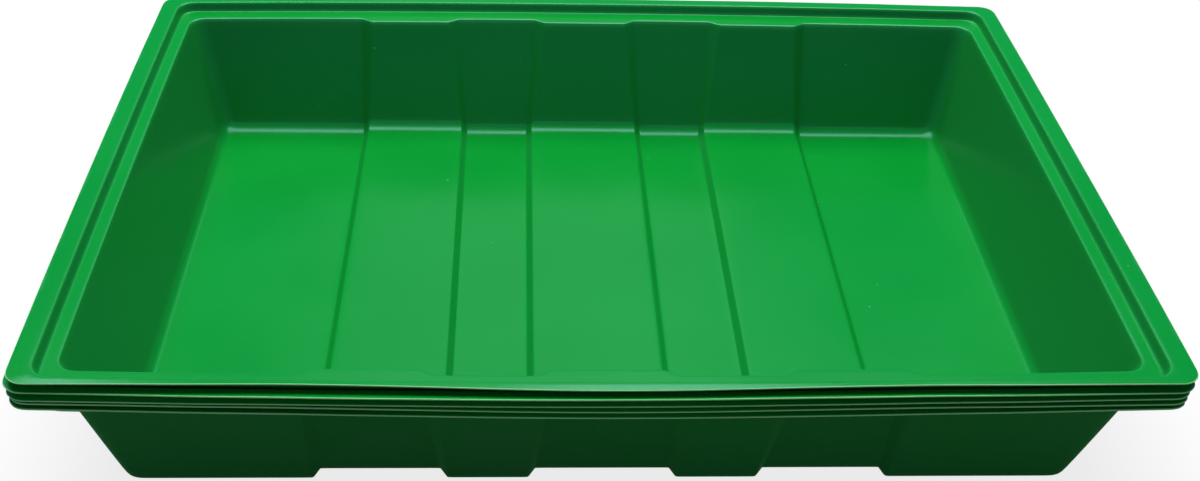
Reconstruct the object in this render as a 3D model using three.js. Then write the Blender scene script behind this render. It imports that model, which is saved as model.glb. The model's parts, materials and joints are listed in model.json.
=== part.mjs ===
// A stack of seed trays, nested in each other. Each tray is one thin sheet of plastic, formed into a
// stepped rim, tapered walls with pleats along the two long sides, and a floor of low and raised panels.
// Millimetres, +X along the trays, +Y to the back, +Z up. The stack stands on z = 0, centred in X and Y.

import * as THREE from 'three';

const { clamp, degToRad, lerp, smoothstep } = THREE.MathUtils;

// One tray, over the corners of its rim, and from the top of the rim to the underside of the feet
const TRAY_LENGTH = 400;
const TRAY_WIDTH = 298;
const TRAY_HEIGHT = 56;
const SHEET_THICKNESS = 0.45;

// Rim: a flat flange, a step down, and a ledge that leads to the wall
const END_FLANGE_WIDTH = 8;
const SIDE_FLANGE_WIDTH = 6;
const STEP_DROP = 4.3;
const STEP_RUN = 1.1;
const END_LEDGE_WIDTH = 5.5;
const SIDE_LEDGE_WIDTH = 7.5;

// Edges of the rim, in section
const STEP_TOP_RADIUS = 1.2;
const STEP_FOOT_RADIUS = 0.8;
const WALL_TOP_RADIUS = 1.5;

// Corners of the tray, in plan
const FLANGE_CORNER_RADIUS = 6.5;
const STEP_CORNER_RADIUS = 4.5;
const WALL_CORNER_RADIUS = 5.5;

// Walls: draft from the vertical, and the fillets between walls and floor
const END_DRAFT = degToRad(13.5);
const SIDE_DRAFT = degToRad(16);
const END_FILLET_RADIUS = 4.5;
const SIDE_FILLET_RADIUS = 2.2;

// The rim bows outwards between its corners, and the edges of the floor are straight
const SIDE_BOW = 3.4;
const END_BOW = 0.9;

// Floor: a raised panel in the middle, then a narrow foot and a raised panel on each side of it,
// and outside them the two end feet, which take up the rest of the length
const FOOT_HEIGHT = 2.8;
const CENTRE_PANEL_WIDTH = 52.6;
const NARROW_FOOT_WIDTH = 31.2;
const INNER_PANEL_WIDTH = 47;

// Pleats: over a raised panel the long wall stands further in. Feet get wider towards the rim, and
// a pleat's side is an S-shaped slope of the given width
const PLEAT_DEPTH_TOP = 3.1;
const PLEAT_DEPTH_FLOOR = 2;
const PLEAT_SLOPE_TOP = 6;
const PLEAT_SLOPE_FLOOR = 3.4;
const NARROW_FOOT_FLARE = 4.8;
const END_FOOT_FLARE = 1;

// Nesting: the gap between two walls when a tray is pushed home, and how far each tray stands
// above that, from the second tray up
const NEST_CLEARANCE = 0.11;
const NEST_SLACK = [0, 0, 0.6, 1.5];
const TRAY_NAMES = ['bottom_tray', 'second_tray', 'third_tray', 'fourth_tray', 'top_tray'];

// Fineness of the round stretches
const CORNER_STEPS = 3;
const PLEAT_STEPS = 3;
const EDGE_STEPS = 1;
const FILLET_STEPS = 2;

const FLOOR_Z = SHEET_THICKNESS;
const LEDGE_Z = TRAY_HEIGHT - STEP_DROP;

// A rounded corner of a section: a curve from the line before the corner to the line after it, which
// starts and ends where an arc of the given radius would.
function roundedCorner(before, corner, after, radius, steps) {
  const backwards = before.clone().sub(corner).normalize();
  const onwards = after.clone().sub(corner).normalize();
  const reach = radius / Math.tan(backwards.angleTo(onwards) / 2);
  const start = corner.clone().addScaledVector(backwards, reach);
  const end = corner.clone().addScaledVector(onwards, reach);
  return new THREE.QuadraticBezierCurve(start, corner, end).getPoints(steps);
}

// Cross-section of the sheet's upper face, from the edge of the flange in to the floor of a foot.
// inset is measured from the edge of the tray, and level runs from 0 at the ledge to 1 at the floor.
function sheetProfile(flangeWidth, ledgeWidth, draft, filletRadius) {
  const wallTop = flangeWidth + STEP_RUN + ledgeWidth;
  const wallFoot = wallTop + (LEDGE_Z - FLOOR_Z) * Math.tan(draft);
  const flangeEdge = new THREE.Vector2(0, TRAY_HEIGHT);
  const stepTop = new THREE.Vector2(flangeWidth, TRAY_HEIGHT);
  const stepFoot = new THREE.Vector2(flangeWidth + STEP_RUN, LEDGE_Z);
  const ledgeEdge = new THREE.Vector2(wallTop, LEDGE_Z);
  const floorEdge = new THREE.Vector2(wallFoot, FLOOR_Z);
  const floorMiddle = new THREE.Vector2(TRAY_WIDTH / 2, FLOOR_Z);

  const step = [
    ...roundedCorner(flangeEdge, stepTop, stepFoot, STEP_TOP_RADIUS, EDGE_STEPS),
    ...roundedCorner(stepTop, stepFoot, ledgeEdge, STEP_FOOT_RADIUS, EDGE_STEPS),
  ];
  const wallHead = roundedCorner(stepFoot, ledgeEdge, floorEdge, WALL_TOP_RADIUS, EDGE_STEPS);
  const wallToe = roundedCorner(ledgeEdge, floorEdge, floorMiddle, filletRadius, FILLET_STEPS);
  const stretches = [
    { points: [flangeEdge], cornerRadius: FLANGE_CORNER_RADIUS },
    { points: step, cornerRadius: STEP_CORNER_RADIUS },
    { points: wallHead, cornerRadius: WALL_CORNER_RADIUS, pleated: true },
    { points: wallToe, cornerRadius: WALL_CORNER_RADIUS, pleated: true, lifted: true },
  ];
  return stretches.flatMap(({ points, ...kind }) => points.map(({ x, y }) => {
    const level = clamp((LEDGE_Z - y) / (LEDGE_Z - FLOOR_Z), 0, 1);
    return { inset: x, z: y, level, ...kind };
  }));
}

// The lower face of the sheet: every stretch of the section moves out by the thickness of the sheet,
// and neighbouring stretches meet where their moved lines cross.
function lowerFace(points) {
  const facing = points.map((point, index) => {
    const next = points[index + 1] ?? { inset: point.inset + 1, z: point.z };
    return new THREE.Vector2(next.z - point.z, point.inset - next.inset).normalize();
  });
  return points.map((point, index) => {
    const before = facing[Math.max(index - 1, 0)];
    const after = facing[index];
    const shift = before.clone().add(after).multiplyScalar(SHEET_THICKNESS / (1 + before.dot(after)));
    return { ...point, inset: point.inset + shift.x, z: point.z + shift.y };
  });
}

// Stations across the sides of the pleats on the right half of a long wall, from the corner to the
// middle. Each one knows its distance from the middle at the ledge and at the floor, and how far the
// wall there stands in: 0 over a foot and 1 over a raised panel.
function pleatStations() {
  const centreEdge = CENTRE_PANEL_WIDTH / 2;
  const footEdge = centreEdge + NARROW_FOOT_WIDTH;
  const panelEdge = footEdge + INNER_PANEL_WIDTH;
  const sides = [
    { floorX: panelEdge, topX: panelEdge - END_FOOT_FLARE, outer: 0 },
    { floorX: footEdge, topX: footEdge + NARROW_FOOT_FLARE, outer: 1 },
    { floorX: centreEdge, topX: centreEdge - NARROW_FOOT_FLARE, outer: 0 },
  ];
  return sides.flatMap(({ floorX, topX, outer }) => {
    const stations = [];
    for (let step = 0; step <= PLEAT_STEPS; step += 1) {
      const across = step / PLEAT_STEPS;
      stations.push({
        floorX: floorX + (0.5 - across) * PLEAT_SLOPE_FLOOR,
        topX: topX + (0.5 - across) * PLEAT_SLOPE_TOP,
        raised: lerp(outer, 1 - outer, smoothstep(across, 0, 1)),
      });
    }
    return stations;
  });
}

const PLEAT_STATIONS = pleatStations();

// One quarter of a loop round the tray, from its right end to the middle of its back. side and end
// are the points of the two sections that the loop goes through.
function quarterLoop({ side, end, radius, pleatDepth, lift }) {
  const cornerX = TRAY_LENGTH / 2 - end.inset - radius;
  const cornerY = TRAY_WIDTH / 2 - side.inset - radius;
  const endBow = END_BOW * (1 - end.level);
  const sideBow = SIDE_BOW * (1 - side.level);
  const sidePoint = (x, raised) => {
    const bow = sideBow * (1 - (x / cornerX) ** 2);
    return new THREE.Vector3(x, cornerY + radius + bow - raised * pleatDepth, side.z + raised * lift);
  };

  const points = [];
  const endY = cornerY / 2;
  const endX = cornerX + radius + endBow * (1 - (endY / cornerY) ** 2);
  points.push(new THREE.Vector3(endX, endY, end.z));
  for (let step = 0; step <= CORNER_STEPS; step += 1) {
    const turn = step / CORNER_STEPS;
    const angle = turn * Math.PI / 2;
    const x = cornerX + radius * Math.cos(angle);
    const y = cornerY + radius * Math.sin(angle);
    points.push(new THREE.Vector3(x, y, lerp(end.z, side.z, turn)));
  }
  const stationX = PLEAT_STATIONS.map(({ topX, floorX }) => lerp(topX, floorX, side.level));
  points.push(sidePoint((cornerX + stationX[0]) / 2, 0));
  PLEAT_STATIONS.forEach(({ raised }, index) => points.push(sidePoint(stationX[index], raised)));
  return points;
}

// A whole loop, anticlockwise seen from above: the tray is the same in all four quarters.
function wholeLoop(row) {
  const quarter = quarterLoop(row);
  const mirrored = (signX, signY) => quarter.map(({ x, y, z }) => new THREE.Vector3(x * signX, y * signY, z));
  return [
    ...mirrored(1, 1),
    ...mirrored(-1, 1).reverse(),
    ...mirrored(-1, -1),
    ...mirrored(1, -1).reverse(),
  ];
}

// The loops of one face of the sheet, from the edge of the flange in to the floor. Corners of the
// lower face keep the centres that those of the upper face have.
function faceLoops(sideProfile, endProfile, upperSideProfile) {
  return sideProfile.map((side, index) => wholeLoop({
    side,
    end: endProfile[index],
    radius: side.cornerRadius + upperSideProfile[index].inset - side.inset,
    pleatDepth: side.pleated ? lerp(PLEAT_DEPTH_TOP, PLEAT_DEPTH_FLOOR, side.level) : 0,
    lift: side.lifted ? FOOT_HEIGHT : 0,
  }));
}

// Triangles between two loops that run alike.
function bandTriangles(outer, inner) {
  return outer.flatMap((point, i) => {
    const next = (i + 1) % outer.length;
    return [
      [point, outer[next], inner[next]],
      [point, inner[next], inner[i]],
    ];
  });
}

// The floor inside its edge: a strip between each pleat station at the back and its twin at the
// front, and a fan round the middle of each end foot.
function floorTriangles(edge) {
  const triangles = [];
  const firstStation = edge.length / 4 - PLEAT_STATIONS.length;
  const lastStation = edge.length / 2 - 1 - firstStation;
  const twin = (i) => edge.length - 1 - i;
  for (let i = firstStation; i < lastStation; i += 1) {
    triangles.push([edge[i], edge[i + 1], edge[twin(i + 1)]]);
    triangles.push([edge[i], edge[twin(i + 1)], edge[twin(i)]]);
  }
  const endFeet = [
    edge.slice(lastStation, twin(lastStation) + 1),
    [...edge.slice(twin(firstStation)), ...edge.slice(0, firstStation + 1)],
  ];
  for (const outline of endFeet) {
    const middle = new THREE.Box3().setFromPoints(outline).getCenter(new THREE.Vector3());
    outline.forEach((point, i) => triangles.push([middle, point, outline[(i + 1) % outline.length]]));
  }
  return triangles;
}

function faceTriangles(loops) {
  const bands = loops.slice(1).flatMap((loop, index) => bandTriangles(loops[index], loop));
  return [...bands, ...floorTriangles(loops[loops.length - 1])];
}

// The closed solid of one tray: upper face, lower face turned over, and the cut edge of the flange.
function trayGeometry() {
  const sideUpper = sheetProfile(SIDE_FLANGE_WIDTH, SIDE_LEDGE_WIDTH, SIDE_DRAFT, SIDE_FILLET_RADIUS);
  const endUpper = sheetProfile(END_FLANGE_WIDTH, END_LEDGE_WIDTH, END_DRAFT, END_FILLET_RADIUS);
  const upperLoops = faceLoops(sideUpper, endUpper, sideUpper);
  const lowerLoops = faceLoops(lowerFace(sideUpper), lowerFace(endUpper), sideUpper);
  const triangles = [
    ...faceTriangles(upperLoops),
    ...faceTriangles(lowerLoops).map(([a, b, c]) => [a, c, b]),
    ...bandTriangles(lowerLoops[0], upperLoops[0]),
  ];
  const geometry = new THREE.BufferGeometry().setFromPoints(triangles.flat());
  geometry.computeVertexNormals();
  return geometry;
}

// How far a tray that is pushed home stands above the one below: their walls meet first where the
// sheet is steepest.
function seatedPitch() {
  const wallHeight = LEDGE_Z - FLOOR_Z;
  const pleatRun = wallHeight * Math.tan(SIDE_DRAFT) - (PLEAT_DEPTH_TOP - PLEAT_DEPTH_FLOOR);
  const pleatDraft = Math.atan(pleatRun / (wallHeight - FOOT_HEIGHT));
  const stepDraft = Math.atan(STEP_RUN / STEP_DROP);
  const steepest = Math.min(END_DRAFT, SIDE_DRAFT, pleatDraft, stepDraft);
  return (SHEET_THICKNESS + NEST_CLEARANCE) / Math.sin(steepest);
}

const stack = new THREE.Group();
const greenPlastic = new THREE.MeshStandardMaterial({ color: 0x1c9c45, roughness: 0.42, metalness: 0 });
const tray = trayGeometry();
let trayZ = 0;
TRAY_NAMES.forEach((name, index) => {
  if (index > 0) {
    trayZ += seatedPitch() + NEST_SLACK[index - 1];
  }
  const mesh = new THREE.Mesh(tray.clone(), greenPlastic.clone());
  mesh.name = name;
  mesh.position.z = trayZ;
  stack.add(mesh);
});

export default stack;
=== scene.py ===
import json
import math

import bmesh
import bpy
from mathutils import Matrix, Vector

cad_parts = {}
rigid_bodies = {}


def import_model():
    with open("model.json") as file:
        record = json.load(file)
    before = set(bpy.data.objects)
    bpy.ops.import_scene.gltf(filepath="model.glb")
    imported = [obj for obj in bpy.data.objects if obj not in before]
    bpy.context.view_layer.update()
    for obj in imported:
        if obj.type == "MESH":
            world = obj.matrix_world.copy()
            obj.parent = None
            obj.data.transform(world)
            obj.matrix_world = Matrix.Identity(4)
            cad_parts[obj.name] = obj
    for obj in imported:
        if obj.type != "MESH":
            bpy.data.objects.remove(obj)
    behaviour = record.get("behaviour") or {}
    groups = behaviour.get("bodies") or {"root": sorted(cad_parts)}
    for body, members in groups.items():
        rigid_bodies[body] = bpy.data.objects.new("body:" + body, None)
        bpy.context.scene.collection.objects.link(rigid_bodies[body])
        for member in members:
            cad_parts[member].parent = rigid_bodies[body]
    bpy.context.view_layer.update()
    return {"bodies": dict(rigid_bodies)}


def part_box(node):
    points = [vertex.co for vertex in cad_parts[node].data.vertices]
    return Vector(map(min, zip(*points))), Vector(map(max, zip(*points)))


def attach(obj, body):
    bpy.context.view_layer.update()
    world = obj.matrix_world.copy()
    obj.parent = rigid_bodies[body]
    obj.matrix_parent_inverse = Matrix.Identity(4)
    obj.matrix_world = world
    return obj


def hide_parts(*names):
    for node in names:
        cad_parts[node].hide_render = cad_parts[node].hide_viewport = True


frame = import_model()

# A stack of five nested seed trays. One tray is modelled as a thin sheet and copied five times, and each
# copy gets a warp of its own. Sizes are in millimetres, and MM turns them into metres.
MM = 0.001

# The photograph's camera, in the stack's frame
CAMERA_PLACE = Vector((-31.1, -572.8, 403.8)) * MM
CAMERA_PITCH = math.radians(33.26)
CAMERA_YAW = math.radians(3.43)
CAMERA_ROLL = math.radians(2.14)
CAMERA_LENS = 48.87
SENSOR_WIDTH = 36.0

# One tray: over the corners of its rim, and from the top of the rim to the underside of the feet
TRAY_LENGTH = 400.0
TRAY_WIDTH = 298.0
TRAY_HEIGHT = 56.0
SHEET_THICKNESS = 0.45
END_FLANGE_WIDTH = 8.0
SIDE_FLANGE_WIDTH = 6.0
STEP_DROP = 4.3
STEP_RUN = 1.1
END_LEDGE_WIDTH = 5.5
SIDE_LEDGE_WIDTH = 7.5
END_DRAFT = math.radians(13.5)
SIDE_DRAFT = math.radians(16.0)
FLOOR_CORNER_RADIUS = 5.5
FLOOR_Z = SHEET_THICKNESS
LEDGE_Z = TRAY_HEIGHT - STEP_DROP

# The flange is trimmed narrower along the front, in front of this line
FRONT_TRIM = 2.0
FRONT_LINE_Y = -0.4 * TRAY_WIDTH

# How far each rounding reaches from the edge that it rounds. At the ends the toe's two middle rows stand
# off that edge by these shares of the reach
END_TOE_REACH = 3.8
END_TOE_SHARES = (0.45, 0.135)
SIDE_TOE_REACH = 2.6
WALL_HEAD_REACH = 1.8
STEP_FOOT_REACH = 1.6
STEP_TOP_REACH = 1.6

# Floor panels and pleats. A pleat's side is a ramp, cut along lines that lie these many half widths from its
# middle. Where a line is raised at all, it is raised by one of these shares
FOOT_HEIGHT = 2.8
CENTRE_PANEL_WIDTH = 52.6
NARROW_FOOT_WIDTH = 31.2
INNER_PANEL_WIDTH = 47.0
PLEAT_DEPTH_TOP = 3.1
PLEAT_DEPTH_FLOOR = 2.0
PLEAT_HALF_TOP = 2.4
PLEAT_HALF_FLOOR = 1.25
RAMP_LINES = (-1.5, -1.0, -0.5, 0.5, 1.0, 1.5)
RAISED_SHARES = (0.25, 0.75, 1.0)
NARROW_FOOT_FLARE = 4.8
END_FOOT_FLARE = 1.0

# How the sheet is meshed. The pleats reach over the section's first seven rows, and the toe over four
CORNER_SEGMENTS = 4
CORNER_MARGIN = 3.0
FLOOR_CUT_ACROSS = 0.8
FLOOR_CUT_BACK = 0.45
PLEATED_ROWS = 7
TOE_TOP_ROW = 3
SUBDIVISIONS = 2
NEAR = 0.05

# The rim bows outwards between its corners, and the front right corner stands out a little
SIDE_BOW = 3.4
END_BOW = 0.9
RIGHT_SPLAY = 0.6
BOW_CAGE_POINTS = (9, 7, 2)

# How each tray's flange is warped. The front edge sags and stands out by these amounts, at five stations
# from the left corner to the right one. The rear sags by a share of that
WARP_CAGE_POINTS = (5, 3, 2)
LAST_STATION = 4
REAR_SHARE = 0.4
FRONT_SAG = {
    "bottom_tray": (-0.6, -0.4, 0.8, -0.1, -0.3),
    "second_tray": (-0.4, -0.7, 0.75, -0.5, 0.2),
    "third_tray": (0.9, 0.5, 0.85, -0.1, 0.2),
    "fourth_tray": (0.1, -1.3, -1.2, -1.3, 0.0),
    "top_tray": (0.5, -0.3, 0.35, 0.0, 0.4),
}
FRONT_STAND_OUT = {
    "fourth_tray": (0.4, 2.2, 2.45, 1.55, 0.8),
    "top_tray": (0.3, -1.2, 0.5, -1.0, 0.35),
}

# The two front corners, and the left and right ends behind them, stand out sideways by these amounts
CORNER_STAND_OUT = {
    "bottom_tray": (0.5, -1.6),
    "second_tray": (0.1, -1.0),
    "third_tray": (1.1, -0.7),
    "fourth_tray": (1.55, 0.1),
    "top_tray": (0.0, 0.7),
}
END_STAND_OUT = {
    "fourth_tray": (0.3, 0.6),
}

# The flange thickens from the sheet's thickness at the step to this at its cut edge, which is rounded
EDGE_THICKNESS = 0.6
EDGE_ROUNDING = 0.28
EDGE_SEGMENTS = 2
CORNER_ANGLE = math.radians(60)
SMOOTH_ANGLE = math.radians(25)
UNDERSIDE_SLOT = 1
CUT_EDGE_SLOT = 2

# How far the sheet is turned from level where the painted highlight along its folds is brightest: 0 is level
# and 1 is upright
FOLD_HIGHLIGHT_TURN = 0.12

# Colours, as linear red, green and blue
DEEP_GREEN = (0.001, 0.325, 0.028)
LIGHT_GREEN = (0.002, 0.35, 0.032)
# WALL_SHADE_GREEN is painted shade, laid on the walls the more upright they stand
WALL_SHADE_GREEN = (0.014, 0.25, 0.047)
DULL_GREEN = (0.028, 0.28, 0.058)
PALE_DULL_GREEN = (0.022, 0.34, 0.052)
# This paler green marks real scuffs along the cut edge, and is also the painted highlight along the folds
SCUFF_AND_HIGHLIGHT_GREEN = (0.05, 0.42, 0.12)
CUT_GREEN = (0.28, 0.85, 0.29)
PALE_CUT_GREEN = (0.36, 0.92, 0.36)
DUST = (0.25, 0.5, 0.33)
COOL_SHEEN = (0.4, 0.9, 1.0)

# Noises of the surface: how many features lie in a metre, and how many finer octaves are added
WAVES = (18.0, 1.0)
GRAIN = (850.0, 2.0)
SCUFFS = (70.0, 4.0)
STREAKS = (260.0, 3.0)
WHOLE_RANGE = (0.0, 1.0)
MIDDLE_OF_NOISE = (0.3, 0.7)
TOP_OF_NOISE = (0.45, 0.7)

# What the waves and the grain add to the tone and to the relief, and the relief's depth
WAVE_TONE = 0.7
GRAIN_TONE = 0.3
WAVE_RELIEF = 0.95
GRAIN_RELIEF = 0.05
RELIEF_DEPTH = 0.3

# Dust: cells in a metre, which of their random values hold a speck, and where in its cell a speck ends
DUST_SCALE = 330.0
DUST_CHOICE = (0.992, 0.998)
DUST_RADIUS = (0.06, 0.16)

# Finish: roughness from the deep tones to the light ones, strength of the reflection, wear, and the strength
# of the painted highlight along the folds
UPPER_ROUGHNESS = (0.2, 0.26)
UPPER_SPECULAR = 0.4
UNDER_ROUGHNESS = (0.62, 0.74)
UNDER_SPECULAR = 0.02
CUT_ROUGHNESS = (0.5, 0.65)
CUT_SPECULAR = 0.3
SCUFF_ROUGHNESS = 0.2
SCUFF_STRENGTH = 0.6
FOLD_HIGHLIGHT_STRENGTH = 0.6

# Studio. The floor and the room have one colour for the light that they give the trays, and another for
# how they are seen. The trays' satin mirrors a dim, cool room
FLOOR_SIZE = 40.0
FLOOR_BOUNCE = (0.2, 0.19, 0.17)
FLOOR_SEEN = (0.2, 0.2, 0.2)
FLOOR_GLOW = 0.81
ROOM_LIGHT = (0.1, 0.095, 0.17)
ROOM_REFLECTED = (0.04, 0.21, 0.27)
ROOM_SEEN = (1.0, 1.0, 1.0)

# Softboxes: where they are, what they face and their size, in metres, and their power in watts
SOFTBOXES = {
    "key_softbox": {"place": (-0.06, 0.57, 1.5), "target": (0, 0.1, 0), "size": (1.5, 1.05), "power": 29.6},
    "rear_softbox": {"place": (0, 1.3, 1.0), "target": (0, 0, 0.03), "size": (0.55, 0.55), "power": 0.45},
    "front_softbox": {"place": (0, -1.3, 0.9), "target": (0, 0, 0.05), "size": (1.4, 0.6), "power": 1.25},
}


def deselect_everything():
    """Leaves edit mode and clears the selection."""
    if bpy.context.object and bpy.context.object.mode != "OBJECT":
        bpy.ops.object.mode_set(mode="OBJECT")
    bpy.ops.object.select_all(action="DESELECT")


def pick(piece):
    """Makes one object the selected and active one."""
    deselect_everything()
    bpy.context.view_layer.objects.active = piece
    piece.select_set(True)


def select_points(piece, wanted, among=None):
    """In edit mode, selects the vertices whose place, in millimetres, is wanted. Where a set of vertex
    numbers is given, only those can be selected."""
    mesh = bmesh.from_edit_mesh(piece.data)
    bpy.ops.mesh.select_mode(type="VERT")
    for vertex in mesh.verts:
        vertex.select = wanted(vertex.co / MM) and (among is None or vertex.index in among)
    mesh.select_flush_mode()
    bmesh.update_edit_mesh(piece.data)


def select_rim_edge():
    """In edit mode, selects the open edge of a sheet."""
    bpy.ops.mesh.select_mode(type="EDGE")
    bpy.ops.mesh.select_all(action="DESELECT")
    bpy.ops.mesh.select_non_manifold(extend=False)


def apply_modifier(piece, name, kind, **settings):
    """Adds a modifier with these settings and applies it."""
    pick(piece)
    modifier = piece.modifiers.new(name, kind)
    for key, value in settings.items():
        setattr(modifier, key, value)
    bpy.ops.object.modifier_apply(modifier=name)


def wall_insets(z):
    """How far in from the rim's edge the end walls and the side walls stand at a height."""
    below_ledge = LEDGE_Z - z
    return (
        END_FLANGE_WIDTH + STEP_RUN + END_LEDGE_WIDTH + below_ledge * math.tan(END_DRAFT),
        SIDE_FLANGE_WIDTH + STEP_RUN + SIDE_LEDGE_WIDTH + below_ledge * math.tan(SIDE_DRAFT),
    )


def section_rows():
    """Rows of the tray's section, from the floor out to the edge of the rim: height, end and side inset."""
    end_foot, side_foot = wall_insets(FLOOR_Z)
    end_head, side_head = wall_insets(LEDGE_Z)
    low_z = FLOOR_Z + SIDE_TOE_REACH * math.cos(SIDE_DRAFT)
    high_z = FLOOR_Z + END_TOE_REACH * math.cos(END_DRAFT)
    head_z = LEDGE_Z - WALL_HEAD_REACH * math.cos(SIDE_DRAFT)
    end_low, side_low = wall_insets(low_z)
    riser_slope = STEP_RUN / STEP_DROP
    floor_toe, wall_toe = [END_TOE_REACH * share for share in END_TOE_SHARES]

    def from_flange(z, inwards):
        return z, END_FLANGE_WIDTH + inwards, SIDE_FLANGE_WIDTH + inwards

    return [
        (FLOOR_Z, end_foot + END_TOE_REACH, side_foot + 2 * SIDE_TOE_REACH),
        (FLOOR_Z, end_foot + floor_toe, side_foot + SIDE_TOE_REACH),
        (low_z, end_low + wall_toe, side_low),
        (high_z, *wall_insets(high_z)),
        (head_z, *wall_insets(head_z)),
        (LEDGE_Z, end_head, side_head),
        (LEDGE_Z, end_head - WALL_HEAD_REACH, side_head - WALL_HEAD_REACH),
        from_flange(LEDGE_Z, STEP_RUN + STEP_FOOT_REACH),
        from_flange(LEDGE_Z, STEP_RUN),
        from_flange(LEDGE_Z + STEP_FOOT_REACH, STEP_RUN - STEP_FOOT_REACH * riser_slope),
        from_flange(TRAY_HEIGHT - STEP_TOP_REACH, STEP_TOP_REACH * riser_slope),
        from_flange(TRAY_HEIGHT, 0.0),
        from_flange(TRAY_HEIGHT, -STEP_TOP_REACH),
        (TRAY_HEIGHT, 0.0, 0.0),
    ]


def pleat_edges():
    """Where the right half's pleats lie: distance from the middle at the floor and at the ledge."""
    centre = CENTRE_PANEL_WIDTH / 2
    foot = centre + NARROW_FOOT_WIDTH
    panel = foot + INNER_PANEL_WIDTH
    return [
        (centre, centre - NARROW_FOOT_FLARE),
        (foot, foot + NARROW_FOOT_FLARE),
        (panel, panel - END_FOOT_FLARE),
    ]


def level_at(z):
    """0 at the ledge and above, 1 at the floor."""
    return min(1.0, max(0.0, (LEDGE_Z - z) / (LEDGE_Z - FLOOR_Z)))


def raised_share(x, z):
    """1 over the three raised panels, 0 over the feet, and between them on the ramps of the pleats."""
    level = level_at(z)
    centre, foot, panel = [top + (low - top) * level for low, top in pleat_edges()]
    half = PLEAT_HALF_TOP + (PLEAT_HALF_FLOOR - PLEAT_HALF_TOP) * level
    inside = max(centre - abs(x), min(abs(x) - foot, panel - abs(x)))
    return min(1.0, max(0.0, 0.5 + inside / (2 * half)))


def is_raised_by(point, share):
    """Whether a point, in millimetres, is one that the pleats raise by this share."""
    return abs(raised_share(point.x, point.z) - share) < NEAR


def half_size(row):
    """Half the length and half the width of the tray at a row of its section, and the row's height."""
    z, end_inset, side_inset = row
    return Vector((TRAY_LENGTH / 2 - end_inset, TRAY_WIDTH / 2 - side_inset, z)) * MM


def cut_across(place, normal):
    """Cuts the whole mesh along a plane, as a new line of edges."""
    bpy.ops.mesh.select_all(action="SELECT")
    bpy.ops.mesh.bisect(plane_co=place, plane_no=normal)


def draw_sheet():
    """The tray's upper face as a coarse sheet: a floor, with the walls and the rim extruded out of its edge.
    """
    rows = section_rows()
    floor = half_size(rows[0])
    deselect_everything()
    bpy.ops.mesh.primitive_plane_add(size=2, location=(0, 0, floor.z))
    sheet = bpy.context.object
    bpy.ops.object.transform_apply(location=True)
    bpy.ops.object.mode_set(mode="EDIT")
    bpy.ops.transform.resize(value=(floor.x, floor.y, 1), center_override=(0, 0, 0))
    bpy.ops.mesh.bevel(offset=FLOOR_CORNER_RADIUS * MM, segments=CORNER_SEGMENTS, affect="VERTICES")

    corner_margin = (FLOOR_CORNER_RADIUS + CORNER_MARGIN) * MM
    for x in (floor.x - corner_margin, FLOOR_CUT_ACROSS * floor.x):
        cut_across((x, 0, 0), (1, 0, 0))
        cut_across((-x, 0, 0), (1, 0, 0))
    for y in (floor.y - corner_margin, FLOOR_CUT_BACK * floor.y):
        cut_across((0, y, 0), (0, 1, 0))
        cut_across((0, -y, 0), (0, 1, 0))

    select_rim_edge()
    for before, after in zip(rows, rows[1:]):
        inner, outer = half_size(before), half_size(after)
        bpy.ops.mesh.extrude_edges_move(TRANSFORM_OT_translate={"value": (0, 0, outer.z - inner.z)})
        bpy.ops.transform.resize(
            value=(outer.x / inner.x, outer.y / inner.y, 1), center_override=(0, 0, 0))
    bpy.ops.object.mode_set(mode="OBJECT")
    return sheet


def cut_ramps():
    """In edit mode, cuts the sheet along the lines of the ramps, on both halves of the tray."""
    for low_x, top_x in pleat_edges():
        for line in RAMP_LINES:
            low = Vector((low_x + line * PLEAT_HALF_FLOOR, 0, FLOOR_Z)) * MM
            top = Vector((top_x + line * PLEAT_HALF_TOP, 0, LEDGE_Z)) * MM
            along = (top - low).normalized()
            for side in (1, -1):
                cut_across((side * low.x, 0, low.z), (side * along.z, 0, -along.x))


def press_pleats(sheet):
    """Cuts the sheet along the pleats, stands the walls in and lifts the floor over the raised panels."""
    pick(sheet)
    bpy.ops.object.mode_set(mode="EDIT")
    cut_ramps()
    rows = section_rows()
    toe_top_z = rows[TOE_TOP_ROW][0]
    for share in RAISED_SHARES:
        for z, _, side_inset in rows[:PLEATED_ROWS]:
            depth = PLEAT_DEPTH_TOP + (PLEAT_DEPTH_FLOOR - PLEAT_DEPTH_TOP) * level_at(z)
            row_y = TRAY_WIDTH / 2 - side_inset
            for side in (1, -1):
                select_points(sheet, lambda p: (
                    abs(p.z - z) < NEAR and abs(p.y - side * row_y) < NEAR and is_raised_by(p, share)))
                bpy.ops.transform.translate(value=(0, -side * share * depth * MM, 0))
    for share in RAISED_SHARES:
        select_points(sheet, lambda p: p.z < toe_top_z + NEAR and is_raised_by(p, share))
        bpy.ops.transform.translate(value=(0, 0, share * FOOT_HEIGHT * MM))
    bpy.ops.mesh.select_all(action="SELECT")
    bpy.ops.mesh.normals_make_consistent(inside=False)
    bpy.ops.object.mode_set(mode="OBJECT")


def weigh_rim(sheet):
    """A vertex group that says how freely the rim can warp: not at the step, and fully at its edge."""
    rim = sheet.vertex_groups.new(name="rim")
    for vertex in sheet.data.vertices:
        place = vertex.co / MM
        if abs(place.z - TRAY_HEIGHT) < NEAR:
            end_inset = TRAY_LENGTH / 2 - abs(place.x)
            side_inset = TRAY_WIDTH / 2 - abs(place.y)
            inwards = min(end_inset / END_FLANGE_WIDTH, side_inset / SIDE_FLANGE_WIDTH)
            rim.add([vertex.index], 1.0 - max(0.0, inwards), "REPLACE")


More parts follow.
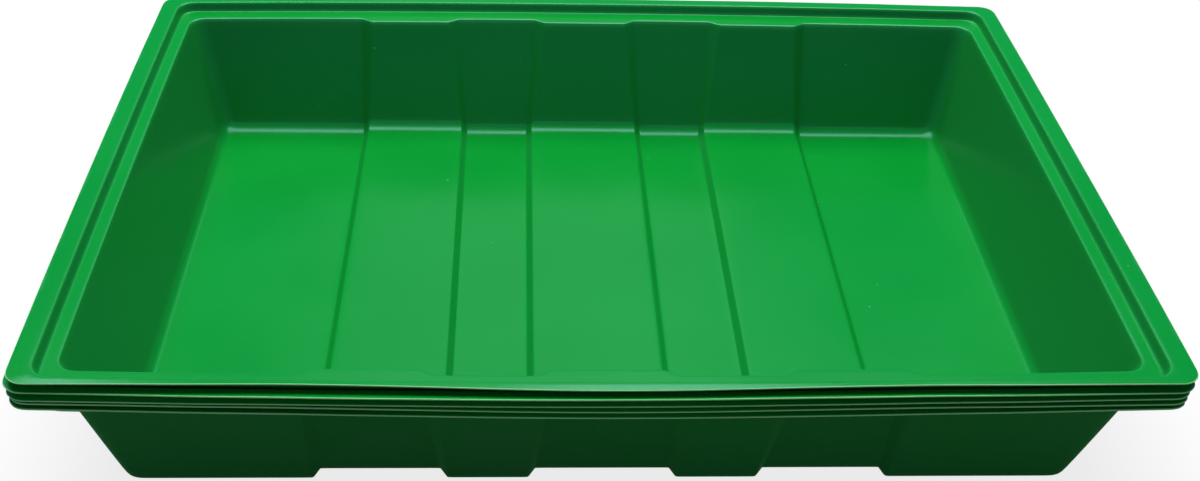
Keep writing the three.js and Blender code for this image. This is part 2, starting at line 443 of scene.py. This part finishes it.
def trim_front(sheet):
    """Cuts the flange narrower along the front: its edge moves back there, with the two front corners."""
    pick(sheet)
    bpy.ops.object.mode_set(mode="EDIT")
    select_rim_edge()
    edge = {vertex.index for vertex in bmesh.from_edit_mesh(sheet.data).verts if vertex.select}
    select_points(sheet, lambda p: p.y < FRONT_LINE_Y, edge)
    bpy.ops.transform.translate(value=(0, FRONT_TRIM * MM, 0))
    bpy.ops.object.mode_set(mode="OBJECT")


def make_cage(name, size, centre, points):
    """A lattice with evenly spaced points, in metres, that other meshes are bent with."""
    deselect_everything()
    bpy.ops.object.add(type="LATTICE", location=centre)
    cage = bpy.context.object
    cage.name = name
    cage.scale = size
    cage.data.points_u, cage.data.points_v, cage.data.points_w = points
    for axis in "uvw":
        setattr(cage.data, "interpolation_type_" + axis, "KEY_CARDINAL")
    bpy.context.view_layer.update()
    return cage


def bow_rim(sheet):
    """Bends the rim outwards between its corners, more and more from the floor up."""
    length, width = TRAY_LENGTH * MM, TRAY_WIDTH * MM
    height = (LEDGE_Z - FLOOR_Z) * MM
    centre = (0, 0, FLOOR_Z * MM + height / 2)
    cage = make_cage("bow_cage", (length, width, height), centre, BOW_CAGE_POINTS)
    for point in cage.data.points:
        across, back, up = point.co * 2
        if up > 0:
            side = SIDE_BOW * MM / width * back * (1 - across ** 2)
            end = END_BOW * MM / length * across * (1 - back ** 2)
            splay = RIGHT_SPLAY * MM / length * max(0, across) * (1 - back) / 2
            point.co_deform += Vector((end + splay, side, 0))
    apply_modifier(sheet, "bow", "LATTICE", object=cage)
    bpy.data.objects.remove(cage)


def mark_steepness(sheet):
    """An attribute that is 0 where the sheet lies flat and near 1 where it stands upright, on the walls; it
    masks the painted shade there.
    """
    steepness = sheet.data.attributes.new("steepness", "FLOAT", "POINT")
    for vertex in sheet.data.vertices:
        steepness.data[vertex.index].value = 1.0 - abs(vertex.normal.z)


def mark_fold_highlights(sheet):
    """An attribute that is 1 along the folds at the head of the walls and of the step, where a paler green
    is painted on as a highlight.
    """
    fold_highlight = sheet.data.attributes.new("fold_highlight", "FLOAT", "POINT")
    steepness = sheet.data.attributes["steepness"].data
    wall_head = LEDGE_Z - WALL_HEAD_REACH
    step_head = TRAY_HEIGHT - STEP_TOP_REACH
    for vertex in sheet.data.vertices:
        z = vertex.co.z / MM
        if wall_head < z <= LEDGE_Z or z > step_head:
            turn = steepness[vertex.index].value / FOLD_HIGHLIGHT_TURN
            fold_highlight.data[vertex.index].value = max(0.0, 1.0 - abs(turn - 1))


def make_tray_sheet():
    """The sheet that all the trays are copied from: true, and without thickness."""
    sheet = draw_sheet()
    press_pleats(sheet)
    weigh_rim(sheet)
    trim_front(sheet)
    apply_modifier(sheet, "soften", "SUBSURF", levels=SUBDIVISIONS, render_levels=SUBDIVISIONS)
    bow_rim(sheet)
    mark_steepness(sheet)
    mark_fold_highlights(sheet)
    return sheet


def warp_flange(tray, name):
    """Bends the flange out of its plane: only the flange, because the group "rim" weighs the cage's pull."""
    size = Vector((TRAY_LENGTH, TRAY_WIDTH + 2 * SIDE_BOW, STEP_DROP)) * MM
    middle = Vector((0, 0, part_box(name)[0].z + (LEDGE_Z + TRAY_HEIGHT) / 2 * MM))
    cage = make_cage(name + "_cage", size, middle, WARP_CAGE_POINTS)
    sag = FRONT_SAG[name]
    stand_out = FRONT_STAND_OUT.get(name, (0.0,) * len(sag))
    for point in cage.data.points:
        across, back, _ = point.co * 2
        at_front = back < -0.5
        station = round(LAST_STATION / 2 * (1 + across))
        share = 1 + (REAR_SHARE - 1) * (1 + back) / 2
        move = Vector((0, 0, -sag[station] * share))
        if at_front:
            move.y = -stand_out[station]
        left, right = CORNER_STAND_OUT[name] if at_front else END_STAND_OUT.get(name, (0.0, 0.0))
        move.x = {0: -left, LAST_STATION: right}.get(station, 0.0)
        point.co_deform += Vector([shift * MM / extent for shift, extent in zip(move, size)])
    apply_modifier(tray, "warp", "LATTICE", object=cage, vertex_group="rim")
    bpy.data.objects.remove(cage)


def mark_cut_edge(tray):
    """An attribute that is 1 along the cut edge of the flange and fades over the faces beside it."""
    wear = tray.data.attributes.new("edge_wear", "FLOAT", "POINT")
    for polygon in tray.data.polygons:
        if polygon.material_index == CUT_EDGE_SLOT:
            for index in polygon.vertices:
                wear.data[index].value = 1.0


def thicken(tray):
    """Gives the sheet its thickness below, and rounds its cut edge."""
    apply_modifier(
        tray, "thickness", "SOLIDIFY", thickness=EDGE_THICKNESS * MM, offset=-1, use_even_offset=True,
        vertex_group="rim", thickness_vertex_group=SHEET_THICKNESS / EDGE_THICKNESS,
        material_offset=UNDERSIDE_SLOT, material_offset_rim=CUT_EDGE_SLOT)
    apply_modifier(
        tray, "rounding", "BEVEL", width=EDGE_ROUNDING * MM, segments=EDGE_SEGMENTS, limit_method="ANGLE",
        angle_limit=CORNER_ANGLE, material=CUT_EDGE_SLOT)


def make_tray(sheet, name, materials):
    """One tray of the stack: a copy of the sheet at its height, with its own warp, and made thick."""
    tray = sheet.copy()
    tray.data = sheet.data.copy()
    tray.name = name + "_sheet"
    bpy.context.scene.collection.objects.link(tray)
    pick(tray)
    bpy.ops.object.mode_set(mode="EDIT")
    bpy.ops.mesh.select_all(action="SELECT")
    bpy.ops.transform.translate(value=(0, 0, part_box(name)[0].z))
    bpy.ops.object.mode_set(mode="OBJECT")
    for material in materials:
        tray.data.materials.append(material)
    warp_flange(tray, name)
    thicken(tray)
    mark_cut_edge(tray)
    pick(tray)
    bpy.ops.object.shade_smooth_by_angle(angle=SMOOTH_ANGLE)
    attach(tray, name)
    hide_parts(name)


def add_node(tree, kind, **settings):
    """A new shader node with these settings."""
    node = tree.nodes.new("ShaderNode" + kind)
    for key, value in settings.items():
        setattr(node, key, value)
    return node


def make_noise(tree, scale, detail):
    """A noise in the object's own place, in metres."""
    place = add_node(tree, "TexCoord")
    noise = add_node(tree, "TexNoise")
    noise.inputs["Scale"].default_value = scale
    noise.inputs["Detail"].default_value = detail
    tree.links.new(place.outputs["Object"], noise.inputs["Vector"])
    return noise.outputs["Fac"]


def make_range(tree, value, before, after):
    """Stretches a value from one range to another. Each range is a low and a high end."""
    node = add_node(tree, "MapRange")
    for socket, limit in zip(("From Min", "From Max", "To Min", "To Max"), (*before, *after)):
        node.inputs[socket].default_value = limit
    tree.links.new(value, node.inputs["Value"])
    return node.outputs["Result"]


def combine(tree, operation, first, second):
    """One value out of two, by a named operation of arithmetic."""
    node = add_node(tree, "Math", operation=operation)
    tree.links.new(first, node.inputs[0])
    tree.links.new(second, node.inputs[1])
    return node.outputs["Value"]


def make_blend(tree, factor, first, second):
    """A colour that goes from the first to the second. The first is a colour or another node's output."""
    node = add_node(tree, "Mix", data_type="RGBA")
    if isinstance(first, tuple):
        node.inputs["A"].default_value = (*first, 1)
    else:
        tree.links.new(first, node.inputs["A"])
    node.inputs["B"].default_value = (*second, 1)
    tree.links.new(factor, node.inputs["Factor"])
    return node.outputs["Result"]


def new_group(name, outputs):
    """A node group that gives values, and the node that takes them."""
    group = bpy.data.node_groups.new(name, "ShaderNodeTree")
    for output in outputs:
        group.interface.new_socket(name=output, in_out="OUTPUT", socket_type="NodeSocketFloat")
    return group, group.nodes.new("NodeGroupOutput")


def make_grain_group():
    """The pressed sheet itself: slow changes of tone, and a relief of slow waves and fine grain."""
    group, output = new_group("sheet_grain", ("Tone", "Relief"))
    waves = make_noise(group, *WAVES)
    grain = make_noise(group, *GRAIN)
    wave_tone = make_range(group, waves, MIDDLE_OF_NOISE, (0.0, WAVE_TONE))
    grain_tone = make_range(group, grain, MIDDLE_OF_NOISE, (0.0, GRAIN_TONE))
    wave_relief = make_range(group, waves, WHOLE_RANGE, (0.0, WAVE_RELIEF))
    grain_relief = make_range(group, grain, WHOLE_RANGE, (0.0, GRAIN_RELIEF))
    group.links.new(combine(group, "ADD", wave_tone, grain_tone), output.inputs["Tone"])
    group.links.new(combine(group, "ADD", wave_relief, grain_relief), output.inputs["Relief"])
    return group


def make_scuff_group():
    """Handling marks: broken patches of wear along the cut edge."""
    group, output = new_group("edge_scuffs", ("Mask",))
    edge = add_node(group, "Attribute", attribute_name="edge_wear")
    patches = make_range(group, make_noise(group, *SCUFFS), TOP_OF_NOISE, WHOLE_RANGE)
    group.links.new(combine(group, "MULTIPLY", edge.outputs["Fac"], patches), output.inputs["Mask"])
    return group


def make_dust_group():
    """A few specks of dust, each in its own small cell of space."""
    group, output = new_group("dust_specks", ("Mask",))
    place = add_node(group, "TexCoord")
    cells = add_node(group, "TexVoronoi")
    cells.inputs["Scale"].default_value = DUST_SCALE
    group.links.new(place.outputs["Object"], cells.inputs["Vector"])
    split = add_node(group, "SeparateColor")
    group.links.new(cells.outputs["Color"], split.inputs["Color"])
    chosen = make_range(group, split.outputs["Red"], DUST_CHOICE, WHOLE_RANGE)
    speck = make_range(group, cells.outputs["Distance"], DUST_RADIUS, (1.0, 0.0))
    group.links.new(combine(group, "MULTIPLY", chosen, speck), output.inputs["Mask"])
    return group


def use_group(tree, group):
    """Adds a node group to a material, and gives its outputs."""
    return add_node(tree, "Group", node_tree=group).outputs


def new_material(name):
    """A new material, its nodes and its shader."""
    material = bpy.data.materials.new(name)
    material.use_nodes = True
    return material, material.node_tree, material.node_tree.nodes["Principled BSDF"]


def add_relief(tree, shader, height):
    """Shades the surface as if it had this relief."""
    bump = add_node(tree, "Bump")
    bump.inputs["Distance"].default_value = RELIEF_DEPTH * MM
    tree.links.new(height, bump.inputs["Height"])
    tree.links.new(bump.outputs["Normal"], shader.inputs["Normal"])


def make_upper_plastic(grain, scuffs, dust):
    """The face of the sheet that shows inside the trays: satin green, with painted shade that deepens the
    green on the upright walls, and a painted highlight along the folds."""
    material, tree, shader = new_material("green_plastic")
    sheet_look = use_group(tree, grain)
    scuff = use_group(tree, scuffs)["Mask"]
    steepness = add_node(tree, "Attribute", attribute_name="steepness")
    fold_highlight = add_node(tree, "Attribute", attribute_name="fold_highlight")
    painted_highlight = make_range(tree, fold_highlight.outputs["Fac"], WHOLE_RANGE, (0.0, FOLD_HIGHLIGHT_STRENGTH))
    scuffed = make_range(tree, scuff, WHOLE_RANGE, (0.0, SCUFF_STRENGTH))
    colour = make_blend(tree, sheet_look["Tone"], DEEP_GREEN, LIGHT_GREEN)
    # Painted shade: the more upright the sheet stands, the darker its green
    colour = make_blend(tree, steepness.outputs["Fac"], colour, WALL_SHADE_GREEN)
    # Painted highlight: a paler green along the folds at the heads of the walls and of the step
    colour = make_blend(tree, painted_highlight, colour, SCUFF_AND_HIGHLIGHT_GREEN)
    colour = make_blend(tree, scuffed, colour, SCUFF_AND_HIGHLIGHT_GREEN)
    colour = make_blend(tree, use_group(tree, dust)["Mask"], colour, DUST)
    satin = make_range(tree, sheet_look["Tone"], WHOLE_RANGE, UPPER_ROUGHNESS)
    scratched = make_range(tree, scuff, WHOLE_RANGE, (0.0, SCUFF_ROUGHNESS))
    tree.links.new(colour, shader.inputs["Base Color"])
    tree.links.new(combine(tree, "ADD", satin, scratched), shader.inputs["Roughness"])
    shader.inputs["Specular IOR Level"].default_value = UPPER_SPECULAR
    shader.inputs["Specular Tint"].default_value = (*COOL_SHEEN, 1)
    add_relief(tree, shader, sheet_look["Relief"])
    return material


def make_under_plastic(grain, scuffs):
    """The face of the sheet that lay on the mould, which shows outside: matt green."""
    material, tree, shader = new_material("green_underside")
    sheet_look = use_group(tree, grain)
    scuff = use_group(tree, scuffs)["Mask"]
    scuffed = make_range(tree, scuff, WHOLE_RANGE, (0.0, SCUFF_STRENGTH))
    colour = make_blend(tree, sheet_look["Tone"], DULL_GREEN, PALE_DULL_GREEN)
    colour = make_blend(tree, scuffed, colour, SCUFF_AND_HIGHLIGHT_GREEN)
    matt = make_range(tree, sheet_look["Tone"], WHOLE_RANGE, UNDER_ROUGHNESS)
    tree.links.new(colour, shader.inputs["Base Color"])
    tree.links.new(matt, shader.inputs["Roughness"])
    shader.inputs["Specular IOR Level"].default_value = UNDER_SPECULAR
    add_relief(tree, shader, sheet_look["Relief"])
    return material


def make_cut_edge(grain, dust):
    """The trimmed edge of the flange: pale, and rough from the cutter."""
    material, tree, shader = new_material("cut_edge")
    sheet_look = use_group(tree, grain)
    streaks = make_range(tree, make_noise(tree, *STREAKS), MIDDLE_OF_NOISE, WHOLE_RANGE)
    colour = make_blend(tree, streaks, CUT_GREEN, PALE_CUT_GREEN)
    colour = make_blend(tree, use_group(tree, dust)["Mask"], colour, DUST)
    tree.links.new(colour, shader.inputs["Base Color"])
    tree.links.new(make_range(tree, streaks, WHOLE_RANGE, CUT_ROUGHNESS), shader.inputs["Roughness"])
    shader.inputs["Specular IOR Level"].default_value = CUT_SPECULAR
    add_relief(tree, shader, sheet_look["Relief"])
    return material


def seen_by_eye(tree):
    """1 for the rays that show the floor, straight or in a reflection, and 0 for those that light things."""
    path = add_node(tree, "LightPath")
    seen = path.outputs["Is Camera Ray"]
    for kind in ("Is Glossy Ray", "Is Transmission Ray"):
        seen = combine(tree, "MAXIMUM", seen, path.outputs[kind])
    return seen


def make_floor():
    """The studio's floor. Its glow makes it look white, and isn't used as a lamp."""
    deselect_everything()
    bpy.ops.mesh.primitive_plane_add(size=FLOOR_SIZE)
    floor = bpy.context.object
    floor.name = "studio_floor"
    material, tree, shader = new_material("pale_floor")
    seen = seen_by_eye(tree)
    glow = make_range(tree, seen, WHOLE_RANGE, (0.0, FLOOR_GLOW))
    tree.links.new(make_blend(tree, seen, FLOOR_BOUNCE, FLOOR_SEEN), shader.inputs["Base Color"])
    tree.links.new(glow, shader.inputs["Emission Strength"])
    shader.inputs["Emission Color"].default_value = (1, 1, 1, 1)
    shader.inputs["Roughness"].default_value = 1.0
    shader.inputs["Specular IOR Level"].default_value = 0.0
    material.cycles.emission_sampling = "NONE"
    floor.data.materials.append(material)


def make_softbox(name, place, target, size, power):
    """A white rectangular lamp that faces a target."""
    deselect_everything()
    bpy.ops.object.light_add(type="AREA", location=place)
    lamp = bpy.context.object
    lamp.name = name
    lamp.data.shape = "RECTANGLE"
    lamp.data.size, lamp.data.size_y = size
    lamp.data.energy = power
    lamp.rotation_euler = (Vector(target) - Vector(place)).to_track_quat("-Z", "Y").to_euler()


def make_light():
    """The room around the trays, and the softboxes."""
    world = bpy.data.worlds.new("studio")
    bpy.context.scene.world = world
    world.use_nodes = True
    tree = world.node_tree
    path = add_node(tree, "LightPath")
    colour = make_blend(tree, path.outputs["Is Glossy Ray"], ROOM_LIGHT, ROOM_REFLECTED)
    colour = make_blend(tree, path.outputs["Is Camera Ray"], colour, ROOM_SEEN)
    tree.links.new(colour, tree.nodes["Background"].inputs["Color"])
    for name, settings in SOFTBOXES.items():
        make_softbox(name, **settings)


def make_camera():
    """The camera that took the photograph: tilted down, turned and rolled."""
    deselect_everything()
    bpy.ops.object.camera_add(location=CAMERA_PLACE)
    camera = bpy.context.object
    camera.name = "photograph_camera"
    camera.data.sensor_width = SENSOR_WIDTH
    camera.data.lens = CAMERA_LENS
    tilt = Matrix.Rotation(math.pi / 2 - CAMERA_PITCH, 3, "X")
    turn = Matrix.Rotation(-CAMERA_YAW, 3, "Z")
    roll = Matrix.Rotation(CAMERA_ROLL, 3, "Z")
    camera.rotation_euler = (turn @ tilt @ roll).to_euler()
    bpy.context.scene.camera = camera


bpy.context.scene.view_settings.view_transform = "Standard"
make_camera()
make_light()
make_floor()
grain = make_grain_group()
scuffs = make_scuff_group()
dust = make_dust_group()
materials = [
    make_upper_plastic(grain, scuffs, dust),
    make_under_plastic(grain, scuffs),
    make_cut_edge(grain, dust),
]
sheet = make_tray_sheet()
for name in frame["bodies"]:
    make_tray(sheet, name, materials)
bpy.data.objects.remove(sheet)
